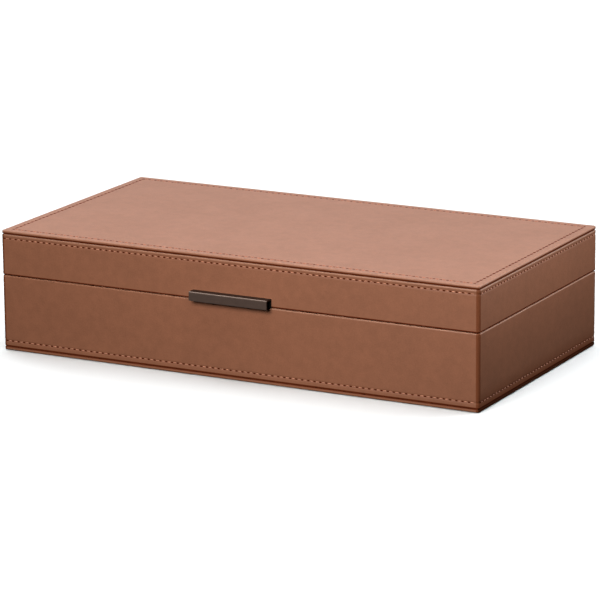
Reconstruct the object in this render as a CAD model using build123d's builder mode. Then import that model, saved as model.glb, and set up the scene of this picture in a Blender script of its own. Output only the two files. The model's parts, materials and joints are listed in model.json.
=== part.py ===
"""Low leather-covered valet box: hinged lid, watch pillows and a sliding inner drawer.

Frame: millimetres, +X to the right, +Y to the back, +Z up.
Origin: centre of the felt underside, on the surface that the box stands on.
"""
from build123d import *
from math import atan, degrees, floor, sqrt
import os

os.makedirs("parts", exist_ok=True)

# ------------------------------------------------------------------ driving sizes
# Outside of the closed box, over the leather
box_width = 356.0
box_depth = 187.0
box_height = 83.5
seam_height = 52.5
seam_gap = 0.4

# Leather covering
leather = 1.0
board_corner_radius = 1.0
rim_round = 0.8
panel_round = 0.9
panel_under_round = 0.4

# Thin panels under the case and over the lid, each with a shadow groove
felt_thickness = 0.5
felt_inset = 4.0
base_panel_thickness = 2.0
top_panel_thickness = 2.0
panel_groove = 0.6

# Boards and linings
case_board_thickness = 7.5
bottom_board_thickness = 3.0
lid_top_board_thickness = 4.0
lining = 1.5
collar_height = 3.0
collar_clearance = 0.4
ceiling_pad_thickness = 3.0

# Finger pull on the lid
pull_length = 58.0
pull_reach = 7.0
pull_height = 6.15
pull_sheet = 1.0
pull_bend_radius = 0.9
pull_inner_bend_radius = 0.3
rivet_spacing = 36.0
rivet_radius = 0.9
rivet_head_radius = 1.5
rivet_head_thickness = 0.4
rivet_depth = 6.0
rivet_clearance = 0.05
rivet_height_in_flange = 3.2

# Butt hinges, let into the rims
hinge_inset = 68.0
hinge_length = 30.0
leaf_setback = 0.3
leaf_clearance = 0.2
knuckle_radius = 1.9
knuckle_wall_gap = 0.4
knuckle_gap = 0.3
pin_radius = 1.0
pin_clearance = 0.05
pin_head_radius = 1.5
pin_head_thickness = 0.6
pin_head_gap = 0.3
lid_opening_angle = 95.0
stop_slack = 2.0
stop_lug_radius = 3.4
stop_lug_reach = 2.5
stop_lug_angle = 30.0
lid_stop_lug_start = 80.0
stop_lug_root = 0.3
stop_lug_clearance = 0.3

# Countersunk hinge screws
screw_radius = 0.8
screw_head_radius = 1.7
screw_head_height = 0.8
screw_length = 9.0
screw_point = 1.5
screw_spacing = 18.0
screw_clearance = 0.05
screw_head_sink = 0.1
pilot_extra_depth = 0.5

# Watch cells at the back
partition_thickness = 3.0
partition_height = 43.0
watch_cell_depth = 62.0
watch_cells = 4
pillow_side_gap = 2.4
pillow_back_gap = 2.5
pillow_height = 40.0
pillow_corner_radius = 17.0
pillow_draw_in = 0.16
pillow_shoulder = 10.0
pillow_end_steps = 4
pillow_flat = 0.5

# Open compartments at the front, under the drawer
lower_divider_height = 20.0

# Drawer and its rails
rail_width = 4.0
rail_strip_height = 3.0
rail_slot_height = 3.4
rail_bottom_height = 33.0
runner_clearance = 0.3
runner_tip_gap = 0.5
drawer_length = 160.0
drawer_height = 21.0
drawer_bottom_height = 28.0
drawer_side_clearance = 0.4
drawer_end_clearance = 0.7
drawer_wall = 4.0
drawer_base_thickness = 2.5
drawer_lining = 1.0
ring_cell_width = 71.0
drawer_divider_thickness = 2.5
drawer_divider_drop = 3.0
ring_roll_count = 5
ring_roll_gap = 0.6
ring_roll_height = 13.0
ring_roll_end_gap = 0.8
ring_roll_round = 2.0
tab_thickness = 1.2
tab_width = 16.0
tab_rise = 4.0
tab_overlap = 11.0
tab_round = 3.0

# ------------------------------------------------------------------ worked-out places
half_width = box_width / 2
half_depth = box_depth / 2
outer_corner_radius = board_corner_radius + leather

case_rim = seam_height - seam_gap / 2
lid_rim = seam_height + seam_gap / 2
base_panel_top = felt_thickness + base_panel_thickness
case_wrap_bottom = base_panel_top + panel_groove
case_board_top = case_rim - leather
lid_board_bottom = lid_rim + leather
leaf_thickness = leather
top_panel_bottom = box_height - top_panel_thickness
lid_wrap_top = top_panel_bottom - panel_groove

board_x = half_width - leather
board_y = half_depth - leather
inner_x = board_x - case_board_thickness
inner_y = board_y - case_board_thickness
room_x = inner_x - lining
room_y = inner_y - lining
lid_inner_x = inner_x + collar_clearance
lid_inner_y = inner_y + collar_clearance
lid_room_x = lid_inner_x - lining
lid_room_y = lid_inner_y - lining

floor_bottom = base_panel_top + bottom_board_thickness
floor_top = floor_bottom + lining
collar_top = case_rim + collar_height
lid_lining_bottom = collar_top + collar_clearance
lid_top_board_bottom = top_panel_bottom - lid_top_board_thickness
ceiling = lid_top_board_bottom - ceiling_pad_thickness

hinge_axis_y = half_depth + knuckle_wall_gap + knuckle_radius
hinge_places = (("left", -half_width + hinge_inset), ("right", half_width - hinge_inset))
leaf_front = inner_y + leaf_setback
leaf_back = half_depth - leaf_clearance
screw_y = (leaf_front + leaf_back) / 2
pilot_depth = screw_length + pilot_extra_depth
half_hinge = hinge_length / 2
case_knuckle_end = hinge_length / 6 - knuckle_gap / 2
lid_knuckle_start = hinge_length / 6 + knuckle_gap / 2

rivet_z = lid_rim + rivet_height_in_flange
rivet_places = (-rivet_spacing / 2, rivet_spacing / 2)

partition_back = room_y - watch_cell_depth
partition_front = partition_back - partition_thickness
partition_top = floor_top + partition_height
cell_width = (2 * room_x - (watch_cells - 1) * partition_thickness) / watch_cells
cell_centres = [
    -room_x + cell_width / 2 + number * (cell_width + partition_thickness)
    for number in range(watch_cells)
]
pillow_y = (partition_back + room_y) / 2
pillow_width = cell_width - 2 * pillow_side_gap
pillow_depth = watch_cell_depth - 2 * pillow_back_gap

slot_bottom = rail_bottom_height + rail_strip_height
slot_top = slot_bottom + rail_slot_height
drawer_front = -room_y + rail_width + drawer_side_clearance
drawer_back = partition_front - rail_width - drawer_side_clearance
drawer_left = -room_x + drawer_end_clearance
drawer_right = drawer_left + drawer_length
drawer_top = drawer_bottom_height + drawer_height
drawer_floor = drawer_bottom_height + drawer_base_thickness
drawer_floor_top = drawer_floor + drawer_lining
runner_reach = drawer_side_clearance + rail_width - runner_tip_gap
cross_divider_left = drawer_left + drawer_wall + ring_cell_width
cross_divider_right = cross_divider_left + drawer_divider_thickness
drawer_divider_top = drawer_top - drawer_divider_drop
drawer_travel = floor((room_x - drawer_end_clearance) - (drawer_right + tab_thickness))

roll_width = (ring_cell_width - (ring_roll_count + 1) * ring_roll_gap) / ring_roll_count
roll_length = drawer_back - drawer_front - 2 * drawer_wall - 2 * ring_roll_end_gap


# ------------------------------------------------------------------ shared shapes
def block(x_limits, y_limits, z_limits, mode=Mode.ADD):
    """A square-edged block between pairs of limits, in the part that is being built."""
    limits = (x_limits, y_limits, z_limits)
    centre = tuple((low + high) / 2 for low, high in limits)
    with Locations(centre):
        Box(*(high - low for low, high in limits), mode=mode)


def save(piece, name):
    """Name a finished piece and write it."""
    piece.part.label = name
    export_step(piece.part, f"parts/{name}.step")


def plain_piece(name, x_limits, y_limits, z_limits):
    """A piece that is one square-edged board, strip or sheet."""
    with BuildPart() as piece:
        block(x_limits, y_limits, z_limits)
    save(piece, name)


def screw(head_face, point_direction):
    """Countersunk screw with its flat head at head_face, pointing up (1) or down (-1)."""
    side_on = Plane(origin=head_face, x_dir=(1, 0, 0), z_dir=(0, -point_direction, 0))
    with BuildSketch(side_on) as half_profile:
        with BuildLine():
            Polyline(
                (0, 0),
                (screw_head_radius, 0),
                (screw_radius, screw_head_height),
                (screw_radius, screw_length - screw_point),
                (0, screw_length),
                close=True,
            )
        make_face()
    revolve(half_profile.sketch, axis=Axis(head_face, (0, 0, 1)))


def annular_sector(x_start, x_end, inner, outer, start_angle, arc):
    """Solid sector about the hinge axis; angles run from the front, over the top."""
    plane = Plane(origin=(x_end, hinge_axis_y, seam_height), x_dir=(0, -1, 0), z_dir=(-1, 0, 0))
    with BuildSketch(plane) as sector:
        with BuildLine():
            outside = CenterArc((0, 0), outer, start_angle, arc)
            inside = CenterArc((0, 0), inner, start_angle, arc)
            Line(outside @ 0, inside @ 0)
            Line(outside @ 1, inside @ 1)
        make_face()
    extrude(sector.sketch, amount=x_end - x_start)


# ------------------------------------------------------------------ base
plain_piece(
    "base_felt",
    (-half_width + felt_inset, half_width - felt_inset),
    (-half_depth + felt_inset, half_depth - felt_inset),
    (0, felt_thickness),
)

# Stiff board of the base panel, inside its leather
with BuildPart() as base_panel_board:
    with BuildSketch(Plane.XY.offset(felt_thickness)):
        RectangleRounded(2 * board_x, 2 * board_y, board_corner_radius)
    extrude(amount=base_panel_thickness)
save(base_panel_board, "base_panel_board")

# Leather band round the edge of the base panel
with BuildPart() as base_panel_leather:
    with BuildSketch(Plane.XY.offset(felt_thickness)):
        RectangleRounded(box_width, box_depth, outer_corner_radius)
    extrude(amount=base_panel_thickness)
    fillet(base_panel_leather.faces().sort_by(Axis.Z)[-1].edges(), panel_under_round)
    fillet(base_panel_leather.faces().sort_by(Axis.Z)[0].edges(), panel_under_round)
    with BuildSketch(Plane.XY.offset(felt_thickness)):
        RectangleRounded(2 * board_x, 2 * board_y, board_corner_radius)
    extrude(amount=base_panel_thickness, mode=Mode.SUBTRACT)
save(base_panel_leather, "base_panel_leather")

# ------------------------------------------------------------------ case boards
plain_piece(
    "case_bottom_board", (-inner_x, inner_x), (-inner_y, inner_y), (base_panel_top, floor_bottom)
)

with BuildPart() as case_front_board:
    block((-board_x, board_x), (-board_y, -inner_y), (base_panel_top, case_board_top))
    fillet(case_front_board.edges().filter_by(Axis.Z).group_by(Axis.Y)[0], board_corner_radius)
save(case_front_board, "case_front_board")

with BuildPart() as case_back_board:
    block((-board_x, board_x), (inner_y, board_y), (base_panel_top, case_board_top))
    fillet(case_back_board.edges().filter_by(Axis.Z).group_by(Axis.Y)[-1], board_corner_radius)
    # Pilot holes for the hinge screws
    for _, hinge_x in hinge_places:
        with Locations((hinge_x, screw_y, case_board_top)):
            with GridLocations(screw_spacing, 0, 2, 1):
                Hole(screw_radius + screw_clearance, depth=pilot_depth)
save(case_back_board, "case_back_board")

for side, low, high in (("left", -board_x, -inner_x), ("right", inner_x, board_x)):
    plain_piece(
        f"case_{side}_board", (low, high), (-inner_y, inner_y), (base_panel_top, case_board_top)
    )

# Leather over the four case walls, turned in over the rim
with BuildPart() as case_leather_wrap:
    with BuildSketch(Plane.XY.offset(case_wrap_bottom)):
        RectangleRounded(box_width, box_depth, outer_corner_radius)
    extrude(amount=case_rim - case_wrap_bottom)
    fillet(case_leather_wrap.faces().sort_by(Axis.Z)[-1].edges(), rim_round)
    with BuildSketch(Plane.XY.offset(case_wrap_bottom)):
        RectangleRounded(2 * board_x, 2 * board_y, board_corner_radius)
    extrude(amount=case_board_top - case_wrap_bottom, mode=Mode.SUBTRACT)
    block((-inner_x, inner_x), (-inner_y, inner_y), (case_board_top, case_rim), Mode.SUBTRACT)
    # Mortises for the hinge leaves, open to the back
    for _, hinge_x in hinge_places:
        mortise = hinge_length / 2 + leaf_clearance
        block(
            (hinge_x - mortise, hinge_x + mortise),
            (inner_y, half_depth),
            (case_board_top, case_rim),
            Mode.SUBTRACT,
        )
save(case_leather_wrap, "case_leather_wrap")

# ------------------------------------------------------------------ case lining
# The wall linings stand above the rim as a collar that guides the lid
for side, low, high in (("front", -inner_y, -room_y), ("back", room_y, inner_y)):
    plain_piece(
        f"case_lining_{side}", (-inner_x, inner_x), (low, high), (floor_bottom, collar_top)
    )
for side, low, high in (("left", -inner_x, -room_x), ("right", room_x, inner_x)):
    plain_piece(
        f"case_lining_{side}", (low, high), (-room_y, room_y), (floor_bottom, collar_top)
    )
plain_piece("case_floor_lining", (-room_x, room_x), (-room_y, room_y), (floor_bottom, floor_top))

# ------------------------------------------------------------------ watch cells
plain_piece(
    "long_partition", (-room_x, room_x), (partition_front, partition_back), (floor_top, partition_top)
)

for number in range(1, watch_cells):
    divider_x = (cell_centres[number - 1] + cell_centres[number]) / 2
    plain_piece(
        f"watch_divider_{number}",
        (divider_x - partition_thickness / 2, divider_x + partition_thickness / 2),
        (partition_back, room_y),
        (floor_top, partition_top),
    )

# Each pillow is crowned across, draws in round its two ends and is flat underneath
half_pillow = pillow_width / 2
pillow_end = []
for step in range(pillow_end_steps + 1):
    # Quarter of an ellipse from the flat end to the full section
    inward = step / pillow_end_steps
    share = 1 - pillow_draw_in * (1 - sqrt(1 - (1 - inward) ** 2))
    pillow_end.append((half_pillow - inward * pillow_shoulder, share))
pillow_stations = [(-along, share) for along, share in pillow_end] + pillow_end[::-1]

for number, pillow_x in enumerate(cell_centres, start=1):
    with BuildPart() as watch_pillow:
        for along, share in pillow_stations:
            middle = (pillow_x + along, pillow_y, floor_top - pillow_flat + pillow_height / 2)
            with BuildSketch(Plane(origin=middle, x_dir=(0, 1, 0), z_dir=(1, 0, 0))):
                RectangleRounded(
                    pillow_depth * share, pillow_height * share, pillow_corner_radius * share
                )
        loft(ruled=True)
        block(
            (pillow_x - half_pillow, pillow_x + half_pillow),
            (partition_back, room_y),
            (floor_bottom - pillow_height, floor_top),
            Mode.SUBTRACT,
        )
    save(watch_pillow, f"watch_pillow_{number}")

# ------------------------------------------------------------------ front compartments
for place, divider_x in (("middle", 0.0), ("right", room_x / 2)):
    plain_piece(
        f"lower_divider_{place}",
        (divider_x - partition_thickness / 2, divider_x + partition_thickness / 2),
        (-room_y, partition_front),
        (floor_top, floor_top + lower_divider_height),
    )

# A rail is two strips with a slot between them, one rail on each side of the drawer
for side, low, high in (
    ("front", -room_y, -room_y + rail_width),
    ("back", partition_front - rail_width, partition_front),
):
    with BuildPart() as drawer_rail:
        block((-room_x, room_x), (low, high), (rail_bottom_height, slot_bottom))
        block((-room_x, room_x), (low, high), (slot_top, slot_top + rail_strip_height))
    save(drawer_rail, f"drawer_rail_{side}")

# ------------------------------------------------------------------ drawer
for side, low, high in (
    ("front", drawer_front, drawer_front + drawer_wall),
    ("back", drawer_back - drawer_wall, drawer_back),
):
    plain_piece(
        f"drawer_side_{side}", (drawer_left, drawer_right), (low, high), (drawer_bottom_height, drawer_top)
    )

drawer_inside_y = (drawer_front + drawer_wall, drawer_back - drawer_wall)
drawer_inside_x = (drawer_left + drawer_wall, drawer_right - drawer_wall)
for side, low, high in (
    ("left", drawer_left, drawer_inside_x[0]),
    ("right", drawer_inside_x[1], drawer_right),
):
    plain_piece(
        f"drawer_end_{side}", (low, high), drawer_inside_y, (drawer_bottom_height, drawer_top)
    )

plain_piece(
    "drawer_bottom", drawer_inside_x, drawer_inside_y, (drawer_bottom_height, drawer_floor)
)
plain_piece(
    "drawer_floor_lining", drawer_inside_x, drawer_inside_y, (drawer_floor, drawer_floor_top)
)
plain_piece(
    "drawer_cross_divider",
    (cross_divider_left, cross_divider_right),
    drawer_inside_y,
    (drawer_floor_top, drawer_divider_top),
)
drawer_middle_y = (drawer_front + drawer_back) / 2
plain_piece(
    "drawer_cell_divider",
    (cross_divider_right, drawer_inside_x[1]),
    (drawer_middle_y - drawer_divider_thickness / 2, drawer_middle_y + drawer_divider_thickness / 2),
    (drawer_floor_top, drawer_divider_top),
)

# Two strips on the drawer's sides run in the slots of the rails
with BuildPart() as drawer_runners:
    runner_limits = (slot_bottom + runner_clearance, slot_top - runner_clearance)
    block((drawer_left, drawer_right), (drawer_front - runner_reach, drawer_front), runner_limits)
    block((drawer_left, drawer_right), (drawer_back, drawer_back + runner_reach), runner_limits)
save(drawer_runners, "drawer_runners")

# Soft rolls that hold rings and cufflinks between them
with BuildPart() as ring_rolls:
    for number in range(ring_roll_count):
        roll_x = drawer_inside_x[0] + ring_roll_gap + roll_width / 2
        roll_x = roll_x + number * (roll_width + ring_roll_gap)
        start = (roll_x, drawer_inside_y[0] + ring_roll_end_gap, drawer_floor_top)
        with BuildSketch(Plane(origin=start, x_dir=(-1, 0, 0), z_dir=(0, 1, 0))):
            crown_start = ring_roll_height - roll_width / 2
            with BuildLine():
                Polyline(
                    (-roll_width / 2, crown_start),
                    (-roll_width / 2, 0),
                    (roll_width / 2, 0),
                    (roll_width / 2, crown_start),
                )
                ThreePointArc(
                    (roll_width / 2, crown_start),
                    (0, ring_roll_height),
                    (-roll_width / 2, crown_start),
                )
            make_face()
        extrude(amount=roll_length)
    roll_ends = ring_rolls.faces().filter_by(Axis.Y).edges()
    fillet(roll_ends.filter_by(lambda edge: edge.center().Z > drawer_floor_top + 1), ring_roll_round)
save(ring_rolls, "ring_rolls")

# Leather tab that the drawer is pulled by
with BuildPart() as drawer_tab:
    block(
        (drawer_right, drawer_right + tab_thickness),
        (drawer_middle_y - tab_width / 2, drawer_middle_y + tab_width / 2),
        (drawer_top - tab_overlap, drawer_top + tab_rise),
    )
    fillet(drawer_tab.edges().filter_by(Axis.X).group_by(Axis.Z)[-1], tab_round)
save(drawer_tab, "drawer_tab")

# ------------------------------------------------------------------ lid boards
with BuildPart() as lid_front_board:
    block((-board_x, board_x), (-board_y, -lid_inner_y), (lid_board_bottom, top_panel_bottom))
    fillet(lid_front_board.edges().filter_by(Axis.Z).group_by(Axis.Y)[0], board_corner_radius)
    # Holes for the rivets of the pull
    for rivet_x in rivet_places:
        with Locations(Plane(origin=(rivet_x, -board_y, rivet_z), z_dir=(0, -1, 0))):
            Hole(rivet_radius + rivet_clearance, depth=rivet_depth)
save(lid_front_board, "lid_front_board")

with BuildPart() as lid_back_board:
    block((-board_x, board_x), (lid_inner_y, board_y), (lid_board_bottom, top_panel_bottom))
    fillet(lid_back_board.edges().filter_by(Axis.Z).group_by(Axis.Y)[-1], board_corner_radius)
    for _, hinge_x in hinge_places:
        for offset_x in (-screw_spacing / 2, screw_spacing / 2):
            pilot = Plane(origin=(hinge_x + offset_x, screw_y, lid_board_bottom), z_dir=(0, 0, -1))
            with Locations(pilot):
                Hole(screw_radius + screw_clearance, depth=pilot_depth)
save(lid_back_board, "lid_back_board")

for side, low, high in (("left", -board_x, -lid_inner_x), ("right", lid_inner_x, board_x)):
    plain_piece(
        f"lid_{side}_board",
        (low, high),
        (-lid_inner_y, lid_inner_y),
        (lid_board_bottom, top_panel_bottom),
    )

plain_piece(
    "lid_top_board",
    (-lid_inner_x, lid_inner_x),
    (-lid_inner_y, lid_inner_y),
    (lid_top_board_bottom, top_panel_bottom),
)

# Leather over the four lid walls, turned in under the rim
with BuildPart() as lid_leather_wrap:
    with BuildSketch(Plane.XY.offset(lid_rim)):
        RectangleRounded(box_width, box_depth, outer_corner_radius)
    extrude(amount=lid_wrap_top - lid_rim)
    fillet(lid_leather_wrap.faces().sort_by(Axis.Z)[0].edges(), rim_round)
    fillet(lid_leather_wrap.faces().sort_by(Axis.Z)[-1].edges(), rim_round)
    with BuildSketch(Plane.XY.offset(lid_board_bottom)):
        RectangleRounded(2 * board_x, 2 * board_y, board_corner_radius)
    extrude(amount=lid_wrap_top - lid_board_bottom, mode=Mode.SUBTRACT)
    block(
        (-lid_inner_x, lid_inner_x), (-lid_inner_y, lid_inner_y), (lid_rim, lid_board_bottom),
        Mode.SUBTRACT,
    )
    for _, hinge_x in hinge_places:
        mortise = hinge_length / 2 + leaf_clearance
        block(
            (hinge_x - mortise, hinge_x + mortise),
            (lid_inner_y, half_depth),
            (lid_rim, lid_board_bottom),
            Mode.SUBTRACT,
        )
    # Holes where the rivets of the pull pass through
    for rivet_x in rivet_places:
        with Locations(Plane(origin=(rivet_x, -half_depth, rivet_z), z_dir=(0, -1, 0))):
            Hole(rivet_radius + rivet_clearance, depth=leather)
save(lid_leather_wrap, "lid_leather_wrap")

# ------------------------------------------------------------------ top panel
with BuildPart() as top_panel_board:
    with BuildSketch(Plane.XY.offset(top_panel_bottom)):
        RectangleRounded(2 * board_x, 2 * board_y, board_corner_radius)
    extrude(amount=top_panel_thickness - leather)
save(top_panel_board, "top_panel_board")

with BuildPart() as top_panel_leather:
    with BuildSketch(Plane.XY.offset(top_panel_bottom)):
        RectangleRounded(box_width, box_depth, outer_corner_radius)
    extrude(amount=top_panel_thickness)
    fillet(top_panel_leather.faces().sort_by(Axis.Z)[-1].edges(), panel_round)
    fillet(top_panel_leather.faces().sort_by(Axis.Z)[0].edges(), panel_under_round)
    with BuildSketch(Plane.XY.offset(top_panel_bottom)):
        RectangleRounded(2 * board_x, 2 * board_y, board_corner_radius)
    extrude(amount=top_panel_thickness - leather, mode=Mode.SUBTRACT)
save(top_panel_leather, "top_panel_leather")

# ------------------------------------------------------------------ lid lining
for side, low, high in (("front", -lid_inner_y, -lid_room_y), ("back", lid_room_y, lid_inner_y)):
    plain_piece(
        f"lid_lining_{side}",
        (-lid_inner_x, lid_inner_x),
        (low, high),
        (lid_lining_bottom, lid_top_board_bottom),
    )
for side, low, high in (("left", -lid_inner_x, -lid_room_x), ("right", lid_room_x, lid_inner_x)):
    plain_piece(
        f"lid_lining_{side}",
        (low, high),
        (-lid_room_y, lid_room_y),
        (lid_lining_bottom, lid_top_board_bottom),
    )
plain_piece(
    "lid_ceiling_pad", (-lid_room_x, lid_room_x), (-lid_room_y, lid_room_y), (ceiling, lid_top_board_bottom)
)

# ------------------------------------------------------------------ finger pull
# One bent sheet: a flange on the lid wall, a web on top and a lip in front
with BuildPart() as lid_pull:
    pull_top = lid_rim + pull_height
    with BuildSketch(Plane.YZ.offset(-pull_length / 2)) as channel:
        with BuildLine():
            Polyline(
                (-half_depth, lid_rim),
                (-half_depth, pull_top),
                (-half_depth - pull_reach, pull_top),
                (-half_depth - pull_reach, lid_rim),
                (-half_depth - pull_reach + pull_sheet, lid_rim),
                (-half_depth - pull_reach + pull_sheet, pull_top - pull_sheet),
                (-half_depth - pull_sheet, pull_top - pull_sheet),
                (-half_depth - pull_sheet, lid_rim),
                close=True,
            )
        make_face()
        corner_rows = channel.vertices().group_by(Axis.Y)
        fillet(corner_rows[-1], pull_bend_radius)
        fillet(channel.vertices().group_by(Axis.Y)[1], pull_inner_bend_radius)
    extrude(amount=pull_length)
    for rivet_x in rivet_places:
        with Locations(Plane(origin=(rivet_x, -half_depth - pull_sheet, rivet_z), z_dir=(0, -1, 0))):
            Hole(rivet_radius + rivet_clearance, depth=pull_sheet)
save(lid_pull, "lid_pull")

with BuildPart() as lid_pull_rivets:
    for rivet_x in rivet_places:
        flange_face = (rivet_x, -half_depth - pull_sheet, rivet_z)
        with BuildSketch(Plane(origin=flange_face, z_dir=(0, 1, 0))):
            Circle(rivet_radius)
        extrude(amount=pull_sheet + leather + rivet_depth)
        with BuildSketch(Plane(origin=flange_face, z_dir=(0, -1, 0))):
            Circle(rivet_head_radius)
        extrude(amount=rivet_head_thickness)
save(lid_pull_rivets, "lid_pull_rivets")

# ------------------------------------------------------------------ hinges
# A leaf lies in the leather of each rim. The case leaf has the middle knuckle and the lid leaf
# the outer two. Angles about the axis are 0 towards the front and 90 straight up.
case_stop_lug_start = lid_stop_lug_start + stop_lug_angle + lid_opening_angle + stop_slack
screw_cone_slope = (screw_head_radius - screw_radius) / screw_head_height
screw_cone_angle = 2 * degrees(atan(screw_cone_slope))
countersink_radius = screw_head_radius + screw_clearance + screw_head_sink * screw_cone_slope


def hinge_leaf(name, hinge_x, spans, leaf_z, leaf_face, point_direction, lugs):
    """Leaf with its knuckles, the lugs that stop the lid and holes for two screws."""
    with BuildPart() as leaf:
        block((hinge_x - half_hinge, hinge_x + half_hinge), (leaf_front, leaf_back), leaf_z)
        for start, end in spans:
            block((start, end), (leaf_back, hinge_axis_y), leaf_z)
            with Locations(Location(((start + end) / 2, hinge_axis_y, seam_height), (0, 90, 0))):
                Cylinder(knuckle_radius, end - start)
        for start, end, inner_radius, start_angle in lugs:
            annular_sector(start, end, inner_radius, stop_lug_radius, start_angle, stop_lug_angle)
        for start, end in spans:
            with Locations(Plane(origin=(end, hinge_axis_y, seam_height), z_dir=(1, 0, 0))):
                Hole(pin_radius + pin_clearance, depth=end - start)
        for offset_x in (-screw_spacing / 2, screw_spacing / 2):
            seat = (hinge_x + offset_x, screw_y, leaf_face)
            with Locations(Plane(origin=seat, z_dir=(0, 0, -point_direction))):
                CounterSinkHole(
                    screw_radius + screw_clearance,
                    countersink_radius,
                    depth=leaf_thickness,
                    counter_sink_angle=screw_cone_angle,
                )
    save(leaf, name)


for side, hinge_x in hinge_places:
    lug_root = knuckle_radius - stop_lug_root
    lug_reach_end = hinge_x + lid_knuckle_start + stop_lug_reach
    hinge_leaf(
        f"hinge_{side}_case_leaf",
        hinge_x,
        [(hinge_x - case_knuckle_end, hinge_x + case_knuckle_end)],
        (case_board_top, case_rim),
        case_rim,
        -1,
        [
            (
                hinge_x + case_knuckle_end - stop_lug_reach,
                hinge_x + case_knuckle_end,
                lug_root,
                case_stop_lug_start,
            ),
            (
                hinge_x + case_knuckle_end,
                lug_reach_end,
                knuckle_radius + stop_lug_clearance,
                case_stop_lug_start,
            ),
        ],
    )
    hinge_leaf(
        f"hinge_{side}_lid_leaf",
        hinge_x,
        [
            (hinge_x - half_hinge, hinge_x - lid_knuckle_start),
            (hinge_x + lid_knuckle_start, hinge_x + half_hinge),
        ],
        (lid_rim, lid_board_bottom),
        lid_rim,
        1,
        [(hinge_x + lid_knuckle_start, lug_reach_end, lug_root, lid_stop_lug_start)],
    )
    # The pin stays with the case; its two heads stand clear of the lid's knuckles
    with BuildPart() as hinge_pin:
        pin_half = half_hinge + pin_head_gap
        with Locations(Location((hinge_x, hinge_axis_y, seam_height), (0, 90, 0))):
            Cylinder(pin_radius, 2 * pin_half)
        for head_x in (-pin_half - pin_head_thickness / 2, pin_half + pin_head_thickness / 2):
            with Locations(Location((hinge_x + head_x, hinge_axis_y, seam_height), (0, 90, 0))):
                Cylinder(pin_head_radius, pin_head_thickness)
    save(hinge_pin, f"hinge_{side}_pin")

for body, head_z, point_direction in (
    ("case", case_rim - screw_head_sink, -1),
    ("lid", lid_rim + screw_head_sink, 1),
):
    with BuildPart() as hinge_screws:
        for _, hinge_x in hinge_places:
            for offset_x in (-screw_spacing / 2, screw_spacing / 2):
                screw((hinge_x + offset_x, screw_y, head_z), point_direction)
    save(hinge_screws, f"{body}_hinge_screws")

print(f"drawer travel {drawer_travel} mm, watch cell {cell_width:.1f} mm wide")
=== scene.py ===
"""Looks of a leather-covered valet box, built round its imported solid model.

Every length is in metres, in the model's own frame: +X right, +Y back, +Z up.
"""

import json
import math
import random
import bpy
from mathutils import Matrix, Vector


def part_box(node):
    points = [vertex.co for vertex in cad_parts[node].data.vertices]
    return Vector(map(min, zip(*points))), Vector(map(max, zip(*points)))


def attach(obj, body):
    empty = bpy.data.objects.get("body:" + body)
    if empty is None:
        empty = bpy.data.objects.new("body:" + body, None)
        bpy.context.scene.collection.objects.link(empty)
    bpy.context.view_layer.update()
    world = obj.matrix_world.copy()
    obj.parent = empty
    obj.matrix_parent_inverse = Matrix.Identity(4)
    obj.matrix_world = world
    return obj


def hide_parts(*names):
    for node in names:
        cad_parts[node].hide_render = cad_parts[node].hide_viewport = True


bl_info = {
    "name": "Leather valet box",
    "version": (1, 0, 0),
    "blender": (4, 5, 0),
    "location": "3D View > Sidebar > Valet Box",
    "description": "Leather, sewing, linings, cushions and metal of a low valet box",
    "category": "Add Mesh",
}

import bmesh
import bpy
from bpy.props import FloatProperty, FloatVectorProperty, IntProperty, PointerProperty
from mathutils import Matrix, Vector, noise

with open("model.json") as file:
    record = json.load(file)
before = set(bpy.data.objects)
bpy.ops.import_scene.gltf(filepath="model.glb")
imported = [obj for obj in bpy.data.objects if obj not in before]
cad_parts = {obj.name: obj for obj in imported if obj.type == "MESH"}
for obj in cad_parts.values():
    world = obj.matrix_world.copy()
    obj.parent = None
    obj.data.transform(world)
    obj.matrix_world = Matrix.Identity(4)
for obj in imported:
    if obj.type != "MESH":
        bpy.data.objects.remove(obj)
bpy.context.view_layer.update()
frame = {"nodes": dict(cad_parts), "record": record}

MM = 0.001

# Places taken from the solid model
CASE_LOW, CASE_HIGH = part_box("case_leather_wrap")
LID_LOW, LID_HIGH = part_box("lid_leather_wrap")
TOP_LOW, TOP_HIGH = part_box("top_panel_leather")
BOARD_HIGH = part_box("top_panel_board")[1]
PULL_LOW, PULL_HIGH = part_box("lid_pull")
HALF_WIDTH = TOP_HIGH[0]
HALF_DEPTH = TOP_HIGH[1]
PULL_SHEET = 1.0 * MM
SKIN = HALF_WIDTH - BOARD_HIGH[0]
CORNER_RADIUS = 2 * MM
TINY = 0.001 * MM

THREAD_SHARE = 0.60  # part of a stitch's length that shows as thread
ROW_END = 1.3 * CORNER_RADIUS  # from a corner of the box to the end of a row on its walls


# ---- settings
def length(name, description, default, high=1.0):
    """A property that holds a length in metres."""
    return FloatProperty(
        name=name, description=description, default=default, min=0.0, max=high,
        unit="LENGTH", precision=5,
    )


def colour(name, description, default):
    """A property that holds a linear colour."""
    return FloatVectorProperty(
        name=name, description=description, default=default, min=0.0, max=1.0,
        size=3, subtype="COLOR",
    )


def half_sizes(name, description, millimetres):
    """A property that holds three lengths, given in millimetres."""
    return FloatVectorProperty(
        name=name, description=description, default=tuple(part * MM for part in millimetres),
        min=0.0, size=3, subtype="XYZ", unit="LENGTH", precision=6,
    )


def share(name, description, default):
    """A property that holds a plain factor."""
    return FloatProperty(
        name=name, description=description, default=default, min=0.0, max=1.0, subtype="FACTOR",
    )


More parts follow.
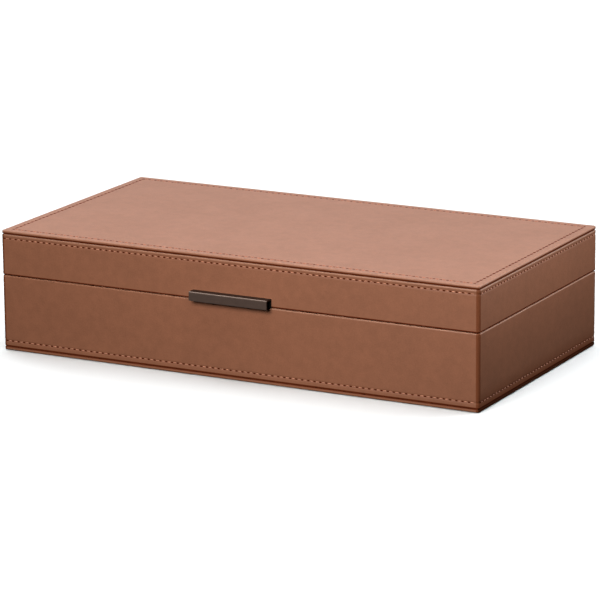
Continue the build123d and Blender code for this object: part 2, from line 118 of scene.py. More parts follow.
class LeatherSettings(bpy.types.PropertyGroup):
    light: colour("Light", "Colour on the raised grain", (0.430, 0.176, 0.097))
    dark: colour("Dark", "Colour in the grain and the clouds", (0.316, 0.129, 0.070))
    # painted highlight: colour painted on the rims where they catch the light
    highlighted: colour("Rubbed", "Colour of the rubbed rims", (0.62, 0.34, 0.235))
    # painted shade: colour of the shaded corners and of the feet of the end walls
    corner_shade: colour("Folded", "Colour where the leather folds round a corner", (0.200, 0.056, 0.020))
    roughness: share("Roughness", "Broad soft sheen of the finish", 0.47)
    shadow: colour("Shadow", "Colour of the turned-in undersides", (0.170, 0.036, 0.012))
    # painted shade: the end walls are painted darker towards the floor, darkest at their lowest edge
    foot_shade: colour("Foot colour", "Colour of the lowest edge of the sides", (0.060, 0.015, 0.005))
    foot: length("Foot", "Height to which the side walls darken", 17 * MM)
    grain: length("Grain", "Size of one pebble of the grain", 1.0 * MM)
    grain_depth: length("Grain depth", "Height of the grain", 0.05 * MM)
    cloud: length("Cloud", "Size of the faint cloudy mottling", 38 * MM)
    valley_depth: length("Valley depth", "How far the sewing pulls the leather in", 0.22 * MM)
    valley_width: length("Valley width", "Half the width of the sewn valley", 1.5 * MM)


class SewingSettings(bpy.types.PropertyGroup):
    pitch: length("Stitch", "Length of one stitch", 4.45 * MM)
    top_pitch: length("Top stitch", "Length of one stitch on the top panel", 4.8 * MM)
    thread: length("Thread", "Radius of the thread of the walls", 0.31 * MM)
    top_thread: length("Top thread", "Radius of the thread of the panel", 0.38 * MM)
    # painted shadow: each hole is a flat dark lens on the leather, longest on the panel's end rows
    wall_hole: half_sizes("Wall hole", "Half sizes of a hole in a wall", (1.05, 0.92, 0.075))
    long_hole: half_sizes("Long hole", "The same on the panel's long rows", (1.155, 1.104, 0.14))
    end_hole: half_sizes("End hole", "The same on the panel's end rows", (1.3125, 1.426, 0.20))
    lid_drop: length("Lid row", "Row below the top edge of the lid wall", 2.9 * MM)
    case_rise: length("Case row", "Row above the bottom edge of the case wall", 3.6 * MM)
    top_inset: length("Panel row", "Row inside the edge of the top panel", 6.1 * MM)
    # painted light: the three thread colours are lit and shaded copies of one thread, lighter on the
    # walls and darker at the panel's ends
    lit_thread_colour: colour("Thread colour", "Waxed thread of the walls", (0.82, 0.36, 0.22))
    top_colour: colour("Top thread colour", "Waxed thread of the panel", (0.60, 0.20, 0.105))
    shaded_thread_colour: colour("Side thread colour", "Thread at the panel's ends", (0.36, 0.115, 0.055))
    hole_colour: colour("Hole colour", "Shadow in the needle holes", (0.080, 0.012, 0.004))
    seed: IntProperty(name="Seed", description="Unevenness of the stitches", default=7, min=0)


class LiningSettings(bpy.types.PropertyGroup):
    suede: colour("Suede", "Lining of the case and the lid", (0.30, 0.205, 0.140))
    cushion: colour("Cushion", "Suede of the pillows and rolls", (0.36, 0.255, 0.180))
    edge_round: length("Edge", "Rounding of the lined edges", 0.45 * MM)
    felt: colour("Felt", "Felt under the base", (0.030, 0.022, 0.018))


class CushionSettings(bpy.types.PropertyGroup):
    voxel: length("Voxel", "Mesh size of the padding", 2.6 * MM)
    swell: length("Swell", "Most that a point of a pillow may move", 3.0 * MM)
    pillow_seam: length("Pillow seam", "Sewn end seam from the end of a pillow", 8.5 * MM)
    rolls: IntProperty(name="Rolls", description="Number of ring rolls", default=5, min=1)
    roll_voxel: length("Roll voxel", "Mesh size of the ring rolls", 1.5 * MM)
    roll_swell: length("Roll swell", "Most that a point of a roll may move", 1.0 * MM)
    pad_inset: length("Pad inset", "Gap round the padding of the lid", 0.5 * MM)
    pad_edge: length("Pad edge", "Width of the rounded edge of the lid's padding", 5.0 * MM)
    pressure: FloatProperty(
        name="Pressure", description="Stuffing of the cushions", default=4.0, min=0.0, max=20.0,
    )
    frames: IntProperty(name="Frames", description="Steps of the simulation", default=20, min=2)


class MetalSettings(bpy.types.PropertyGroup):
    bronze: colour("Bronze", "Dark bronze of the finger pull", (0.150, 0.102, 0.083))
    # painted highlight: colour of the lit bend of the pull
    bend: colour("Bend", "Rubbed bend of the finger pull", (0.62, 0.50, 0.43))
    bronze_roughness: share("Bronze roughness", "Satin of the finger pull", 0.40)
    steel: colour("Steel", "Metal of the hinges and screws", (0.42, 0.36, 0.27))


class StageSettings(bpy.types.PropertyGroup):
    azimuth: FloatProperty(
        name="Azimuth", description="Camera's turn about the box, in degrees", default=27.912,
    )
    elevation: FloatProperty(
        name="Elevation", description="Camera's height, in degrees", default=14.366,
    )
    roll: FloatProperty(name="Roll", description="Camera's roll, in degrees", default=-0.4856)
    distance: length("Distance", "Camera to the front foot of the box", 2.3455, high=10.0)
    aim_right: length("Aim right", "Aim to the right of the front foot", 0.04377)
    aim_up: length("Aim up", "Aim above the front foot", 0.05302)
    lens: FloatProperty(name="Lens", description="Focal length in millimetres", default=213.785)
    floor: colour("Floor", "Pale floor", (0.855, 0.893, 0.908))
    world: FloatProperty(name="Surround", description="Light from all round", default=0.0)


# ---- shading
def times(shade, factor):
    """A colour made darker or lighter."""
    return tuple(min(1.0, factor * part) for part in shade)


class Value:
    """A number in a material: arithmetic on it adds Math nodes."""

    def __init__(self, material, socket):
        self.material = material
        self.socket = socket

    def math(self, operation, *others, clamp=False):
        """Any operation of a Math node on this value and others."""
        node = self.material.node("ShaderNodeMath", dict(operation=operation, use_clamp=clamp),
                                  dict(enumerate((self, *others))))
        return Value(self.material, node.outputs[0])

    def __add__(self, other):
        return self.math("ADD", other)

    __radd__ = __add__

    def __sub__(self, other):
        return self.math("SUBTRACT", other)

    def __rsub__(self, other):
        return (self * -1.0) + other

    def __mul__(self, other):
        return self.math("MULTIPLY", other)

    __rmul__ = __mul__

    def between(self, low, high, soft):
        """1 between low and high and 0 outside, with soft borders."""
        return self.smooth_step(low - soft, low + soft) * (
            1.0 - self.smooth_step(high - soft, high + soft)
        )

    def clamped(self):
        """The same, kept between 0 and 1."""
        return self.math("ADD", 0.0, clamp=True)

    def smooth_step(self, low, high):
        """0 below low and 1 above high, with a smooth rise between."""
        node = self.material.node(
            "ShaderNodeMapRange", dict(interpolation_type="SMOOTHSTEP"),
            {"Value": self, "From Min": low, "From Max": high},
        )
        return Value(self.material, node.outputs["Result"])


def largest(first, *others):
    """The largest of several values."""
    for other in others:
        first = first.math("MAXIMUM", other)
    return first


class Finish:
    """A procedural material with one Principled shader, or two where it turns dull."""

    def __init__(self, name, **constants):
        self.material = bpy.data.materials.new(name)
        self.material.use_nodes = True
        self.tree = self.material.node_tree
        self.tree.nodes.clear()
        self.shader = self.node("ShaderNodeBsdfPrincipled")
        self.output = self.node("ShaderNodeOutputMaterial")
        self.tree.links.new(self.shader.outputs["BSDF"], self.output.inputs["Surface"])
        for socket, value in constants.items():
            self.shader.inputs[socket.replace("_", " ")].default_value = value
        coordinates = self.node("ShaderNodeTexCoord")
        self.place = coordinates.outputs["Object"]

    def node(self, kind, settings=None, inputs=None):
        """Any node: its type, its settings, and the values or links of its sockets."""
        node = self.tree.nodes.new(kind)
        for key, value in (settings or {}).items():
            setattr(node, key, value)
        for key, value in (inputs or {}).items():
            self.feed(node.inputs[key], value)
        return node

    def feed(self, socket, value):
        """Links or sets one socket."""
        if isinstance(value, Value):
            value = value.socket
        if isinstance(value, bpy.types.NodeSocket):
            self.tree.links.new(value, socket)
        elif hasattr(value, "__len__") and len(socket.default_value) == 4:
            socket.default_value = (*value, 1.0)
        else:
            socket.default_value = value

    def stretched(self, scale):
        """Object coordinates, scaled by a different factor along each axis."""
        node = self.node("ShaderNodeMapping", None, {"Vector": self.place, "Scale": scale})
        return node.outputs["Vector"]

    def clouds(self, size, detail=3.0, roughness=0.5, where=None, distortion=0.0):
        """Noise whose lumps are about the given size."""
        node = self.node(
            "ShaderNodeTexNoise", None,
            {"Vector": where or self.place, "Scale": 1.0 / size, "Detail": detail,
             "Roughness": roughness, "Distortion": distortion},
        )
        return Value(self, node.outputs[0])

    def cells(self, size, smoothness):
        """Distance pattern of rounded cells of about the given size."""
        node = self.node(
            "ShaderNodeTexVoronoi", dict(feature="SMOOTH_F1"),
            {"Vector": self.place, "Scale": 1.0 / size, "Smoothness": smoothness},
        )
        return Value(self, node.outputs["Distance"])

    def axis(self, name):
        """One object coordinate, in metres."""
        node = self.node("ShaderNodeSeparateXYZ", None, {"Vector": self.place})
        return Value(self, node.outputs[name])

    def blend(self, factor, first, second):
        """Mixes two colours."""
        node = self.node("ShaderNodeMix", dict(data_type="RGBA"), {"Factor": factor})
        self.feed(node.inputs[6], first)
        self.feed(node.inputs[7], second)
        return node.outputs[2]

    def bump(self, height, distance):
        """Raises the surface by height times distance."""
        node = self.node("ShaderNodeBump", None,
                         {"Height": height, "Distance": distance, "Strength": 1.0})
        self.feed(self.shader.inputs["Normal"], node.outputs["Normal"])

    def dull_over(self, factor, shade):
        """Covers the finish with one that has no sheen, where the factor is 1; used to paint shade."""
        dull = self.node("ShaderNodeBsdfPrincipled", None, {"Roughness": 1.0, "Specular IOR Level": 0.0})
        self.feed(dull.inputs["Base Color"], shade)
        mixed = self.node("ShaderNodeMixShader", None, {
            0: factor, 1: self.shader.outputs["BSDF"], 2: dull.outputs["BSDF"],
        })
        self.feed(self.output.inputs["Surface"], mixed.outputs["Shader"])

    def colour(self, socket):
        self.feed(self.shader.inputs["Base Color"], socket)

    def roughness(self, value):
        self.feed(self.shader.inputs["Roughness"], value)


class Skin:
    """Masks for the places on the box where light and shade are painted into its leather, worked out
    from x, y and z.
    """

    def __init__(self, finish):
        self.right = finish.axis("X")
        self.across = self.right.math("ABSOLUTE")
        self.along = finish.axis("Y").math("ABSOLUTE")
        self.height = finish.axis("Z")
        self.outward = largest(self.across - HALF_WIDTH, self.along - HALF_DEPTH)
        self.outer = self.outward.smooth_step(-1.1 * MM, -0.5 * MM)
        self.end_walls = self.outer * self.across.smooth_step(HALF_WIDTH - MM, HALF_WIDTH - 0.5 * MM)

    def rims(self):
        """Painted highlights on the upper edges, where the rounded rims catch the light; that of the
        case is painted brighter towards the right.
        """
        soft = 0.35 * MM
        case = self.height.between(CASE_HIGH[2] - 0.8 * MM, CASE_HIGH[2] + 0.2 * MM, soft)
        case = case * (0.25 + 0.45 * self.right.smooth_step(-120 * MM, 60 * MM))
        lid = self.height.between(LID_HIGH[2] - 0.9 * MM, LID_HIGH[2] + 0.2 * MM, soft)
        panel = self.outer * self.height.smooth_step(TOP_LOW[2] + 0.8 * MM, TOP_LOW[2] + 1.6 * MM)
        return self.outer * largest(case, lid, panel * 0.5)

    def corners(self):
        """Upright corners, round which the leather turns; painted shade darkens them."""
        turn, soft = 1.1 * CORNER_RADIUS, 0.35 * MM
        return (
            self.across.smooth_step(HALF_WIDTH - turn - soft, HALF_WIDTH - turn + soft)
            * self.along.smooth_step(HALF_DEPTH - turn - soft, HALF_DEPTH - turn + soft)
            * (1.0 - self.height.smooth_step(TOP_LOW[2] - soft, TOP_LOW[2] + soft))
        )

    def underside_and_groove_shade(self):
        """Undersides of the covers, and the leather inside the grooves, where shade is painted."""
        soft = 0.12 * MM
        under = largest(
            self.height.between(CASE_LOW[2] - MM, CASE_LOW[2] + 0.6 * MM, soft),
            self.height.between(LID_LOW[2] - 0.2 * MM, LID_LOW[2] + 1.0 * MM, soft),
            self.height.between(TOP_LOW[2] - 0.2 * MM, TOP_LOW[2] + 0.75 * MM, soft),
        )
        groove = largest(
            self.height.between(LID_HIGH[2] - 0.3 * MM, TOP_LOW[2] + 0.2 * MM, soft),
            self.height.between(CASE_LOW[2] - 0.8 * MM, CASE_LOW[2] + 0.2 * MM, soft),
        )
        return largest(
            under * self.outward.smooth_step(-1.2 * MM, -0.9 * MM),
            groove * (1.0 - self.outward.smooth_step(-0.8 * MM, -0.4 * MM)),
        )

    def foot(self, top):
        """Lower part of the two end walls, up to the given height, where painted shade darkens them
        towards the bottom.
        """
        return self.end_walls * (1.0 - self.height.smooth_step(0.5 * MM, top))


def tan_leather():
    """Smooth leather cloth: fine pebbled grain, faint clouds, broad sheen, painted highlights on the
    rims and painted shade at corners, grooves, undersides and feet.
    """
    look = bpy.context.scene.valet_leather
    finish = Finish("tan_leather", Specular_IOR_Level=0.5)
    cloud = finish.clouds(look.cloud, detail=4.0, roughness=0.55)
    blotch = finish.clouds(look.cloud / 6, detail=3.0, roughness=0.6)
    pebble = finish.cells(look.grain, smoothness=0.4)
    crease = finish.clouds(look.grain * 2.3, detail=4.0, roughness=0.6, distortion=0.6)
    grain = (pebble * -0.65 + crease * 0.7) + 0.35
    tone = (cloud.smooth_step(0.3, 0.7) * 0.2 + blotch.smooth_step(0.3, 0.7) * 0.3) + grain * 0.5
    body = finish.blend(tone.clamped(), look.dark, look.light)

    skin = Skin(finish)
    # painted highlight on the rims, varied by the blotches
    body = finish.blend((skin.rims() * (0.35 + blotch * 0.3)).clamped(), body, look.highlighted)
    underside_and_groove_shade = skin.underside_and_groove_shade()
    # painted shade on the end walls, darker towards the bottom
    foot = skin.foot(look.foot)
    # painted shade: the lowest edge of the end walls
    lowest = skin.end_walls * (
        1.0 - skin.height.smooth_step(CASE_LOW[2] - 0.3 * MM, CASE_LOW[2] + 0.7 * MM)
    )
    finish.colour(finish.blend(foot * 0.4, body, look.corner_shade))
    # painted shade: darker in the undersides and grooves than at the corners and feet
    dull = finish.blend(underside_and_groove_shade, look.corner_shade, look.shadow)
    # painted shade: a sheenless dark finish over corners, grooves, undersides and feet
    finish.dull_over(
        largest(skin.corners() * 0.8, underside_and_groove_shade * 0.95, foot * 0.45, lowest * 0.9),
        finish.blend(lowest, dull, look.foot_shade),
    )
    finish.roughness((look.roughness + 0.05) + cloud * -0.08 + grain * -0.05)
    finish.bump(grain, look.grain_depth)
    return finish.material


def thread(name, shade):
    """Waxed, twisted thread."""
    finish = Finish(name, Roughness=0.55, Sheen_Weight=0.15)
    twist = finish.clouds(0.35 * MM, detail=2.0)
    darker = times(shade, 0.62)
    finish.colour(finish.blend(twist.smooth_step(0.35, 0.65), darker, shade))
    finish.bump(twist, 0.05 * MM)
    return finish.material


def needle_hole():
    """Shadow inside a needle hole."""
    look = bpy.context.scene.valet_sewing
    finish = Finish("needle_hole", Roughness=1.0, Specular_IOR_Level=0.0)
    depth = finish.clouds(0.3 * MM)
    paler = times(look.hole_colour, 1.6)
    finish.colour(finish.blend(depth, look.hole_colour, paler))
    return finish.material


def suede(name, shade):
    """Short napped suede cloth, with brushed lighter and darker patches."""
    finish = Finish(name, Sheen_Weight=0.35, Sheen_Roughness=0.5, Specular_IOR_Level=0.2)
    brushed = finish.clouds(24 * MM, detail=3.0, roughness=0.6, distortion=0.8)
    nap = finish.clouds(0.55 * MM, detail=3.0, roughness=0.7)
    pile = finish.clouds(2.2 * MM, detail=2.0, where=finish.stretched((1.0, 0.55, 1.0)))
    tone = brushed.smooth_step(0.35, 0.65) * 0.45 + nap * 0.35 + pile * 0.2
    finish.colour(finish.blend(tone.clamped(), times(shade, 0.82), times(shade, 1.14)))
    finish.roughness(0.80 + nap * 0.15)
    finish.bump(nap * 0.7 + pile * 0.3, 0.12 * MM)
    return finish.material


def felt():
    """Pressed felt of the foot."""
    look = bpy.context.scene.valet_lining
    finish = Finish("felt", Sheen_Weight=0.3, Specular_IOR_Level=0.15)
    fibre = finish.clouds(0.9 * MM, detail=4.0, roughness=0.7, distortion=1.5)
    paler = times(look.felt, 2.2)
    finish.colour(finish.blend(fibre.smooth_step(0.35, 0.7), look.felt, paler))
    finish.roughness(0.88 + fibre * 0.1)
    finish.bump(fibre, 0.15 * MM)
    return finish.material


def fibreboard():
    """Edge of the boards, seen only in the shadow grooves; its dark red is painted shade."""
    finish = Finish("shaded_board", Specular_IOR_Level=0.1)
    fibre = finish.clouds(0.5 * MM, detail=4.0, roughness=0.7)
    layer = finish.clouds(3 * MM, detail=2.0, where=finish.stretched((0.2, 0.2, 2.0)))
    tone = (fibre * 0.6 + layer * 0.4).clamped()
    finish.colour(finish.blend(tone, (0.110, 0.022, 0.008), (0.190, 0.042, 0.015)))
    finish.roughness(0.75 + fibre * 0.15)
    finish.bump(fibre, 0.06 * MM)
    return finish.material


def hardwood():
    """Waxed rails and runners, with the grain along X."""
    finish = Finish("waxed_hardwood", Coat_Weight=0.15, Coat_Roughness=0.3)
    along = finish.stretched((0.06, 1.0, 1.0))
    ring = finish.clouds(1.6 * MM, detail=5.0, roughness=0.65, where=along, distortion=0.4)
    pore = finish.clouds(0.4 * MM, detail=2.0, where=finish.stretched((0.08, 1.0, 1.0)))
    tone = (ring.smooth_step(0.3, 0.7) * 0.7 + pore * 0.3).clamped()
    finish.colour(finish.blend(tone, (0.085, 0.036, 0.016), (0.23, 0.115, 0.055)))
    finish.roughness(0.42 + pore * 0.15)
    finish.bump(ring * 0.4 + pore * 0.6, 0.04 * MM)
    return finish.material


def dark_bronze():
    """Dark bronze: satin face, painted highlight along the rounded top edge of the lip, painted shade,
    very dark, on the top, inside and ends.
    """
    look = bpy.context.scene.valet_metal
    finish = Finish("dark_bronze", Metallic=0.55)
    brushed = finish.clouds(0.30 * MM, detail=3.0, where=finish.stretched((0.03, 1.0, 1.0)))
    patch = finish.clouds(5 * MM, detail=4.0, roughness=0.65)
    tone = (brushed * 0.45 + patch * 0.55).clamped()
    metal = finish.blend(tone, times(look.bronze, 0.78), times(look.bronze, 1.25))

    behind, height = finish.axis("Y") - PULL_LOW[1], finish.axis("Z") - PULL_HIGH[2]
    thin = 0.06 * MM
    top = behind.smooth_step(0.5 * MM, 0.8 * MM) * height.smooth_step(-0.15 * MM, -0.1 * MM)
    bend = (
        (1.0 - behind.smooth_step(0.45 * MM, 0.6 * MM)) * height.smooth_step(-0.5 * MM, -0.2 * MM)
    )
    inside = (
        behind.smooth_step(PULL_SHEET - 2 * thin, PULL_SHEET - thin)
        * (1.0 - height.smooth_step(thin - PULL_SHEET, 2 * thin - PULL_SHEET))
    )
    ends = finish.axis("X").math("ABSOLUTE").smooth_step(PULL_HIGH[0] - thin, PULL_HIGH[0] - 0.2 * thin)
    # painted highlight along the bend
    metal = finish.blend(bend * (0.25 + patch * 0.6), metal, look.bend)
    # painted shade: the top, the inside and the ends of the pull made very dark
    painted_shade = largest(inside, ends, top * 0.95)
    finish.colour(finish.blend(painted_shade, metal, (0.010, 0.006, 0.005)))
    finish.roughness(look.bronze_roughness + brushed * 0.12 + patch * 0.05 + inside * 0.3)
    finish.bump(brushed, 0.010 * MM)
    return finish.material


def hinge_steel():
    """Bronzed steel of the hinges and screws."""
    look = bpy.context.scene.valet_metal
    finish = Finish("hinge_steel", Metallic=1.0)
    drawn = finish.clouds(0.25 * MM, detail=3.0, where=finish.stretched((0.05, 1.0, 1.0)))
    stain = finish.clouds(4 * MM, detail=3.0)
    low = times(look.steel, 0.6)
    finish.colour(finish.blend((drawn * 0.4 + stain * 0.6).clamped(), low, look.steel))
    finish.roughness(0.26 + drawn * 0.14 + stain * 0.06)
    finish.bump(drawn, 0.008 * MM)
    return finish.material


def pale_floor():
    """Matt floor of the studio."""
    look = bpy.context.scene.valet_stage
    finish = Finish("pale_floor", Specular_IOR_Level=0.2)
    dust = finish.clouds(0.4, detail=3.0)
    darker = times(look.floor, 0.985)
    finish.colour(finish.blend(dust, darker, look.floor))
    finish.roughness(0.75 + dust * 0.1)
    return finish.material


FINISHES = {}


def finish_of(name):
    """The material of that name, made once."""
    sewing, lining = bpy.context.scene.valet_sewing, bpy.context.scene.valet_lining
    makers = {
        "tan_leather": tan_leather,
        "waxed_thread": lambda: thread(name, sewing.lit_thread_colour),
        "panel_thread": lambda: thread(name, sewing.top_colour),
        "dark_thread": lambda: thread(name, sewing.shaded_thread_colour),
        "needle_hole": needle_hole,
        "suede_lining": lambda: suede(name, lining.suede),
        "cushion_suede": lambda: suede(name, lining.cushion),
        "base_felt": felt,
        "case_board": fibreboard,
        "hardwood": hardwood,
        "bronze_metal": dark_bronze,
        "hinge_steel": hinge_steel,
        "pale_floor": pale_floor,
    }
    if name not in FINISHES:
        FINISHES[name] = makers[name]()
    return FINISHES[name]


# ---- modelling helpers
def select_nothing():
    """Clears the selection in object mode."""
    bpy.ops.object.select_all(action="DESELECT")


def only(piece):
    """Leaves this piece alone selected and active."""
    if bpy.context.object and bpy.context.object.mode != "OBJECT":
        bpy.ops.object.mode_set(mode="OBJECT")
    select_nothing()
    piece.select_set(True)
    bpy.context.view_layer.objects.active = piece


def edit(piece):
    """Opens a piece in edit mode with everything in it selected."""
    only(piece)
    bpy.ops.object.mode_set(mode="EDIT")
    bpy.ops.mesh.select_mode(type="VERT")
    bpy.ops.mesh.select_all(action="SELECT")


def leave_edit():
    """Goes back to object mode."""
    bpy.ops.object.mode_set(mode="OBJECT")


def select_points(piece, test):
    """In edit mode, selects the vertices whose place passes the test, and counts them."""
    mesh = bmesh.from_edit_mesh(piece.data)
    for face in mesh.faces:
        face.select = False
    for edge in mesh.edges:
        edge.select = False
    count = 0
    for point in mesh.verts:
        point.select = bool(test(point.co))
        count += point.select
    mesh.select_flush(True)
    bmesh.update_edit_mesh(piece.data)
    return count


def cut(place, normal):
    """In edit mode, cuts the whole mesh along a plane and keeps both sides."""
    bpy.ops.mesh.select_all(action="SELECT")
    bpy.ops.mesh.bisect(plane_co=place, plane_no=normal, use_fill=False)


def add_modifier(piece, kind, **settings):
    """Adds a modifier with its settings."""
    modifier = piece.modifiers.new(kind.title(), kind)
    for key, value in settings.items():
        setattr(modifier, key, value)
    return modifier


def apply_modifiers(piece):
    """Works all modifiers of a piece into its mesh."""
    only(piece)
    for modifier in list(piece.modifiers):
        bpy.ops.object.modifier_apply(modifier=modifier.name)


def apply_place(piece):
    """Moves a piece's place into its mesh."""
    only(piece)
    bpy.ops.object.transform_apply(location=True, rotation=True, scale=True)


def shade(piece, angle):
    """Smooth shading, with sharp edges where faces meet at more than the angle in degrees."""
    only(piece)
    bpy.ops.object.shade_smooth_by_angle(angle=math.radians(angle))


def paint(piece, *names):
    """Gives a new piece its materials."""
    piece.data.materials.clear()
    for name in names:
        piece.data.materials.append(finish_of(name))


def place_piece(piece, body, slot, *nodes):
    """Makes a finished piece ride on a body, and stand for the nodes it replaces."""
    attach(piece, body)
    if nodes:
        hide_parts(*nodes)


def new_object(name, data):
    """A new object with that data, linked into the scene."""
    piece = bpy.data.objects.new(name, data)
    bpy.context.collection.objects.link(piece)
    return piece


def joined(pieces):
    """Joins pieces into the first of them."""
    only(pieces[0])
    for piece in pieces[1:]:
        piece.select_set(True)
    bpy.ops.object.join()
    return pieces[0]


def copy_of_node(node, name):
    """A new, welded mesh with the shape of a node of the solid model."""
    piece = new_object(name, frame["nodes"][node].data.copy())
    edit(piece)
    bpy.ops.mesh.remove_doubles(threshold=TINY)
    leave_edit()
    bpy.ops.mesh.customdata_custom_splitnormals_clear()
    return piece


# ---- leather
def valley_rows():
    """Offsets across a sewn valley, each with its depth there."""
    look = bpy.context.scene.valet_leather
    steps = (-1.0, -0.62, -0.3, 0.0, 0.3, 0.62, 1.0)
    rows = []
    for step in steps:
        depth = look.valley_depth * (0.5 + 0.5 * math.cos(math.pi * step)) ** 1.3
        rows.append((step * look.valley_width, depth))
    return rows


def sew_wall(piece, height):
    """Presses a valley round the walls of a cover at the given height."""
    edit(piece)
    for offset, _ in valley_rows():
        cut((0, 0, height + offset), (0, 0, 1))
    skin_x = HALF_WIDTH - SKIN / 2
    skin_y = HALF_DEPTH - SKIN / 2
    for offset, depth in valley_rows():
        level = height + offset
        select_points(
            piece,
            lambda p: abs(p.z - level) < TINY and (abs(p.x) > skin_x or abs(p.y) > skin_y),
        )
        factors = ((HALF_WIDTH - depth) / HALF_WIDTH, (HALF_DEPTH - depth) / HALF_DEPTH, 1)
        bpy.ops.transform.resize(value=factors, center_override=(0, 0, 0))
    leave_edit()


def sew_panel(piece, inset):
    """Presses a valley round the top face of the panel, inside its edge."""
    row_x = HALF_WIDTH - inset
    row_y = HALF_DEPTH - inset
    edit(piece)
    for offset, _ in valley_rows():
        for sign in (-1, 1):
            cut((sign * (row_x + offset), 0, 0), (1, 0, 0))
            cut((0, sign * (row_y + offset), 0), (0, 1, 0))
    for offset, depth in valley_rows():
        select_points(
            piece,
            lambda p: p.z > TOP_HIGH[2] - TINY
            and abs(max(abs(p.x) - row_x, abs(p.y) - row_y) - offset) < TINY,
        )
        bpy.ops.transform.translate(value=(0, 0, -depth))
    leave_edit()


class VALET_OT_covers(bpy.types.Operator):
    """Leather over the case, the lid, the top panel and the base panel"""
    bl_idname = "valet.covers"
    bl_label = "Leather covers"

    def execute(self, context):
        sewing = context.scene.valet_sewing
        case = copy_of_node("case_leather_wrap", "case_cover")
        sew_wall(case, CASE_LOW[2] + sewing.case_rise)
        lid = copy_of_node("lid_leather_wrap", "lid_cover")
        sew_wall(lid, LID_HIGH[2] - sewing.lid_drop)
        panel = copy_of_node("top_panel_leather", "top_panel_cover")
        sew_panel(panel, sewing.top_inset)
        base = copy_of_node("base_panel_leather", "base_panel_cover")
        for piece, body, node in (
            (case, "case", "case_leather_wrap"),
            (lid, "lid", "lid_leather_wrap"),
            (panel, "lid", "top_panel_leather"),
            (base, "case", "base_panel_leather"),
        ):
            paint(piece, "tan_leather")
            shade(piece, 40.0)
            add_modifier(piece, "WEIGHTED_NORMAL", keep_sharp=True, weight=60)
            apply_modifiers(piece)
            place_piece(piece, body, "tan_leather", node)
        return {"FINISHED"}


# ---- sewing
def one_stitch(pitch, radius, hole_size, yarn):
    """One thread that dips into the leather at both ends, with a needle hole before it."""
    half = pitch * THREAD_SHARE / 2
    end_share = 0.45  # thickness of the thread's tips
    rise, dip = 0.15 * radius, 1.25 * radius  # of its middle and of its tips
    select_nothing()
    bpy.ops.mesh.primitive_cylinder_add(
        vertices=8, radius=radius, depth=2 * half, rotation=(0, math.pi / 2, 0),
    )
    stitch = bpy.context.object
    apply_place(stitch)
    edit(stitch)
    stations = (-0.86, -0.62, -0.25, 0.25, 0.62, 0.86)
    for station in stations:
        cut((station * half, 0, 0), (1, 0, 0))
    for station in (-1.0, *stations, 1.0):
        level = station * half
        select_points(stitch, lambda p: abs(p.x - level) < TINY)
        thickness = end_share + (1 - end_share) * math.sqrt(1.0 - 0.96 * station * station)
        bpy.ops.transform.resize(
            value=(1, thickness, thickness), center_override=(level, 0, 0),
        )
        bpy.ops.transform.translate(value=(0, 0, rise - dip * abs(station) ** 3))
    leave_edit()
    stitch.location.x = pitch / 2
    apply_place(stitch)
    paint(stitch, yarn, "needle_hole")

    # painted shadow: a flat dark lens where the needle hole is
    select_nothing()
    bpy.ops.mesh.primitive_uv_sphere_add(segments=8, ring_count=4, radius=1)
    hole = bpy.context.object
    hole.scale = hole_size
    apply_place(hole)
    paint(hole, yarn, "needle_hole")
    for face in hole.data.polygons:
        face.material_index = 1
    return joined([stitch, hole])


def unevenness(piece, size, seed):
    """Turns and shifts each stitch a very little, as hand-guided sewing does."""
    turn_spread, along_spread, across_spread = 0.035, 0.05 * MM, 0.03 * MM
    chance = random.Random(seed)
    points = piece.data.vertices
    for first in range(0, len(points), size):
        block = range(first, first + size)
        centre = sum((points[i].co for i in block), Vector()) / size
        turn = Matrix.Rotation(chance.gauss(0, turn_spread), 3, "Z")
        shift = Vector((chance.gauss(0, along_spread), chance.gauss(0, across_spread), 0))
        for i in block:
            points[i].co = centre + shift + turn @ (points[i].co - centre)


def stitch_row(name, pitch, radius, hole_size, yarn, runs):
    """Rows of stitches; a run is (start, end, direction out of the leather)."""
    look = bpy.context.scene.valet_sewing
    unit = one_stitch(pitch, radius, hole_size, yarn)
    size = len(unit.data.vertices)
    rows = []
    for number, (start, end, outward) in enumerate(runs):
        row = new_object(name, unit.data.copy())
        run = end - start
        count = round(run.length / pitch)
        step = run.length / count
        add_modifier(
            row, "ARRAY", count=count, use_relative_offset=False, use_constant_offset=True,
            constant_offset_displace=(step, 0, 0),
        )
        apply_modifiers(row)
        unevenness(row, size, look.seed + number)
        along = run.normalized()
        across = outward.cross(along)
        axes = Matrix((along, across, outward)).transposed().to_4x4()
        row.matrix_world = Matrix.Translation(start) @ axes
        apply_place(row)
        rows.append(row)
    bpy.data.objects.remove(unit)
    piece = joined(rows)
    piece.name = name
    piece.data.name = name
    shade(piece, 50.0)
    return piece


def wall_runs(height, depth):
    """Four runs round the walls at one height, sunk by depth, clear of the corners."""
    x = HALF_WIDTH - depth
    y = HALF_DEPTH - depth
    end_x = HALF_WIDTH - ROW_END
    end_y = HALF_DEPTH - ROW_END
    return (
        (Vector((-end_x, -y, height)), Vector((end_x, -y, height)), Vector((0, -1, 0))),
        (Vector((x, -end_y, height)), Vector((x, end_y, height)), Vector((1, 0, 0))),
        (Vector((end_x, y, height)), Vector((-end_x, y, height)), Vector((0, 1, 0))),
        (Vector((-x, end_y, height)), Vector((-x, -end_y, height)), Vector((-1, 0, 0))),
    )


def panel_runs(inset, depth):
    """Four runs round the top panel, from corner to corner."""
    x = HALF_WIDTH - inset
    y = HALF_DEPTH - inset
    z = TOP_HIGH[2] - depth
    corners = [Vector((-x, -y, z)), Vector((x, -y, z)), Vector((x, y, z)), Vector((-x, y, z))]
    return [(corners[i], corners[(i + 1) % 4], Vector((0, 0, 1))) for i in range(4)]


